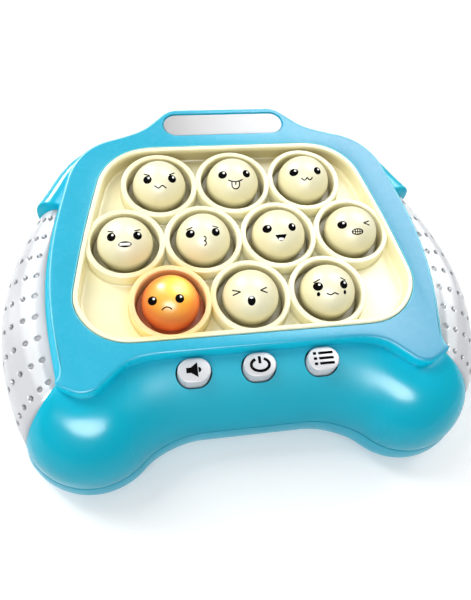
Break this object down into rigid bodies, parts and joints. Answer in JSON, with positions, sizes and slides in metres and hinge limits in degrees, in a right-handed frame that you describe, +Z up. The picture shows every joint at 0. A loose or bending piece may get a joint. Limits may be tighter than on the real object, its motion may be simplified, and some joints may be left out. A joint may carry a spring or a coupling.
{
  "type": "electronic bubble pop game",
  "caption": "Handheld game-pad-shaped toy: blue moulded case with white side grips, a cream tray of round push bubbles in rings that light up to be pressed, and a row of small buttons.",
  "frame": {"origin": "centre of the case's outline, at the flat base that rests on the table", "axes": "+X to the player's right across both grips, +Y away from the player towards the name plate, +Z up out of the face"},
  "size_m": [0.1674, 0.139, 0.0506],
  "materials": {
    "shell_blue": "gloss",
    "shell_teal": "gloss",
    "grip_white": "satin",
    "tray_cream": "gloss",
    "plate_silver": "satin",
    "bubble_cream": "gloss",
    "bubble_lit": "gloss, lit from inside",
    "dome_rubber": "matt",
    "button_grey": "satin",
    "board_green": "satin",
    "lamp_clear": "gloss",
    "steel": "plated",
    "speaker_black": "satin",
    "wire_red": "satin",
    "wire_black": "satin",
    "battery_wrap": "gloss"
  },
  "bodies": {
    "housing": {"upper_shell": "shell_blue", "lower_shell": "shell_teal", "left_grip": "grip_white", "right_grip": "grip_white", "bubble_tray": "tray_cream", "name_plate": "plate_silver", "key_dome_1": "dome_rubber", "key_dome_2": "dome_rubber", "key_dome_3": "dome_rubber", "key_dome_4": "dome_rubber", "key_dome_5": "dome_rubber", "key_dome_6": "dome_rubber", "key_dome_7": "dome_rubber", "key_dome_8": "dome_rubber", "key_dome_9": "dome_rubber", "key_dome_10": "dome_rubber", "volume_dome": "dome_rubber", "power_dome": "dome_rubber", "mode_dome": "dome_rubber", "main_board": "board_green", "lamps": "lamp_clear", "board_screws": "steel", "speaker": "speaker_black", "speaker_wires": "wire_red", "batteries": "battery_wrap", "battery_springs": "steel", "battery_plates": "steel", "battery_wires": "wire_black", "battery_door": "shell_teal", "battery_door_screw": "steel", "housing_screws": "steel"},
    "bubble_1": {"bubble_1": "bubble_cream"},
    "bubble_2": {"bubble_2": "bubble_cream"},
    "bubble_3": {"bubble_3": "bubble_cream"},
    "bubble_4": {"bubble_4": "bubble_cream"},
    "bubble_5": {"bubble_5": "bubble_cream"},
    "bubble_6": {"bubble_6": "bubble_cream"},
    "bubble_7": {"bubble_7": "bubble_cream"},
    "bubble_8": {"bubble_8": "bubble_lit"},
    "bubble_9": {"bubble_9": "bubble_cream"},
    "bubble_10": {"bubble_10": "bubble_cream"},
    "volume_button": {"volume_button": "button_grey"},
    "power_button": {"power_button": "button_grey"},
    "mode_button": {"mode_button": "button_grey"}
  },
  "joints": [
    {"name": "bubble_1_press", "type": "slide", "parent": "housing", "child": "bubble_1", "axis": [0, 0, -1], "range_m": [0, 0.004], "stiffness_N_per_m": 400, "deforming": ["key_dome_1"]},
    {"name": "bubble_2_press", "type": "slide", "parent": "housing", "child": "bubble_2", "axis": [0, 0, -1], "range_m": [0, 0.004], "stiffness_N_per_m": 400, "deforming": ["key_dome_2"]},
    {"name": "bubble_3_press", "type": "slide", "parent": "housing", "child": "bubble_3", "axis": [0, 0, -1], "range_m": [0, 0.004], "stiffness_N_per_m": 400, "deforming": ["key_dome_3"]},
    {"name": "bubble_4_press", "type": "slide", "parent": "housing", "child": "bubble_4", "axis": [0, 0, -1], "range_m": [0, 0.004], "stiffness_N_per_m": 400, "deforming": ["key_dome_4"]},
    {"name": "bubble_5_press", "type": "slide", "parent": "housing", "child": "bubble_5", "axis": [0, 0, -1], "range_m": [0, 0.004], "stiffness_N_per_m": 400, "deforming": ["key_dome_5"]},
    {"name": "bubble_6_press", "type": "slide", "parent": "housing", "child": "bubble_6", "axis": [0, 0, -1], "range_m": [0, 0.004], "stiffness_N_per_m": 400, "deforming": ["key_dome_6"]},
    {"name": "bubble_7_press", "type": "slide", "parent": "housing", "child": "bubble_7", "axis": [0, 0, -1], "range_m": [0, 0.004], "stiffness_N_per_m": 400, "deforming": ["key_dome_7"]},
    {"name": "bubble_8_press", "type": "slide", "parent": "housing", "child": "bubble_8", "axis": [0, 0, -1], "range_m": [0, 0.004], "stiffness_N_per_m": 400, "deforming": ["key_dome_8"]},
    {"name": "bubble_9_press", "type": "slide", "parent": "housing", "child": "bubble_9", "axis": [0, 0, -1], "range_m": [0, 0.004], "stiffness_N_per_m": 400, "deforming": ["key_dome_9"]},
    {"name": "bubble_10_press", "type": "slide", "parent": "housing", "child": "bubble_10", "axis": [0, 0, -1], "range_m": [0, 0.004], "stiffness_N_per_m": 400, "deforming": ["key_dome_10"]},
    {"name": "volume_button_press", "type": "slide", "parent": "housing", "child": "volume_button", "axis": [0, 0, -1], "range_m": [0, 0.001], "stiffness_N_per_m": 800, "deforming": ["volume_dome"]},
    {"name": "power_button_press", "type": "slide", "parent": "housing", "child": "power_button", "axis": [0, 0, -1], "range_m": [0, 0.001], "stiffness_N_per_m": 800, "deforming": ["power_dome"]},
    {"name": "mode_button_press", "type": "slide", "parent": "housing", "child": "mode_button", "axis": [0, 0, -1], "range_m": [0, 0.001], "stiffness_N_per_m": 800, "deforming": ["mode_dome"]}
  ]
}
